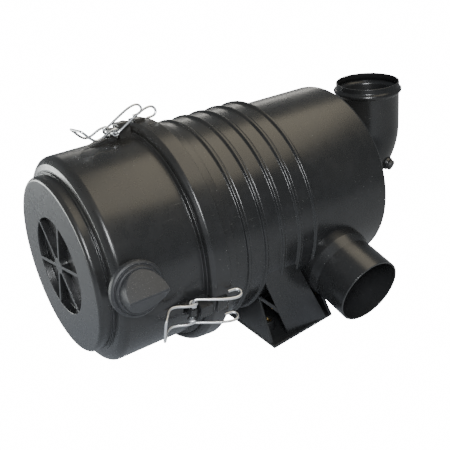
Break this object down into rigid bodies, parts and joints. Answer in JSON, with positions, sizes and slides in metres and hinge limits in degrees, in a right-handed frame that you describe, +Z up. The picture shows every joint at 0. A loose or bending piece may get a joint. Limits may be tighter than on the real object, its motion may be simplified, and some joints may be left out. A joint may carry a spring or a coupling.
{
  "type": "air filter housing",
  "caption": "Two-stage dry air filter housing for a small engine: ribbed drum on a foot, latched service cover with dust valve, side inlet port and upright outlet elbow.",
  "frame": {"origin": "middle of the foot's base face, below the drum", "axes": "+X along the drum from the service cover to the outlet, +Z up away from the base, the inlet port leans out towards -Y"},
  "size_m": [0.6031, 0.371, 0.3489],
  "materials": {
    "black_plastic": "moulded satin",
    "grey_plastic": "moulded matt",
    "black_rubber": "dusty matt",
    "zinc_wire": "bright zinc plated",
    "brass_insert": "turned",
    "filter_paper": "resin treated",
    "safety_felt": "felt",
    "urethane_cap": "moulded",
    "perforated_steel": "galvanised"
  },
  "bodies": {
    "housing": {"housing_body": "black_plastic", "outlet_elbow": "black_plastic", "elbow_seal": "black_rubber", "indicator_plug": "grey_plastic", "foot_insert_front_near": "brass_insert", "foot_insert_front_far": "brass_insert", "foot_insert_rear_near": "brass_insert", "foot_insert_rear_far": "brass_insert", "guide_sleeve": "grey_plastic", "safety_media": "safety_felt", "safety_open_cap": "urethane_cap", "safety_closed_cap": "urethane_cap"},
    "cover": {"service_cover": "black_plastic", "cover_seal": "black_rubber", "dust_sleeve": "grey_plastic", "dust_valve": "black_rubber"},
    "primary_element": {"primary_media": "filter_paper", "primary_core": "perforated_steel", "primary_open_cap": "urethane_cap", "primary_closed_cap": "urethane_cap"},
    "hooks_1": {"latch_hook_1": "zinc_wire"},
    "handle_1": {"latch_handle_1": "zinc_wire"},
    "hooks_2": {"latch_hook_2": "zinc_wire"},
    "handle_2": {"latch_handle_2": "zinc_wire"},
    "hooks_3": {"latch_hook_3": "zinc_wire"},
    "handle_3": {"latch_handle_3": "zinc_wire"}
  },
  "joints": [
    {"name": "cover_lift_off", "type": "slide", "parent": "housing", "child": "cover", "axis": [-1, 0, 0], "range_m": [0, 0.45]},
    {"name": "element_pull_out", "type": "slide", "parent": "housing", "child": "primary_element", "axis": [-1, 0, 0], "range_m": [0, 0.36]},
    {"name": "hooks_1_lift", "type": "hinge", "parent": "cover", "child": "hooks_1", "pos_m": [-0.189, 0.02269, 0.32181], "axis": [0, -0.989, 0.1478], "range_deg": [0, 60]},
    {"name": "handle_1_pull", "type": "hinge", "parent": "cover", "child": "handle_1", "pos_m": [-0.189, 0.02269, 0.32181], "axis": [0, 0.989, -0.1478], "range_deg": [0, 60]},
    {"name": "hooks_2_lift", "type": "hinge", "parent": "cover", "child": "hooks_2", "pos_m": [-0.189, -0.1464, 0.12384], "axis": [0, 0.3007, -0.9537], "range_deg": [0, 60]},
    {"name": "handle_2_pull", "type": "hinge", "parent": "cover", "child": "handle_2", "pos_m": [-0.189, -0.1464, 0.12384], "axis": [0, -0.3007, 0.9537], "range_deg": [0, 60]},
    {"name": "hooks_3_lift", "type": "hinge", "parent": "cover", "child": "hooks_3", "pos_m": [-0.189, 0.11672, 0.07031], "axis": [0, 0.6494, 0.7604], "range_deg": [0, 60]},
    {"name": "handle_3_pull", "type": "hinge", "parent": "cover", "child": "handle_3", "pos_m": [-0.189, 0.11672, 0.07031], "axis": [0, -0.6494, -0.7604], "range_deg": [0, 60]}
  ],
  "couplings": [
    {"joint": "element_pull_out", "follows": "cover_lift_off", "ratio": 0.75}
  ]
}
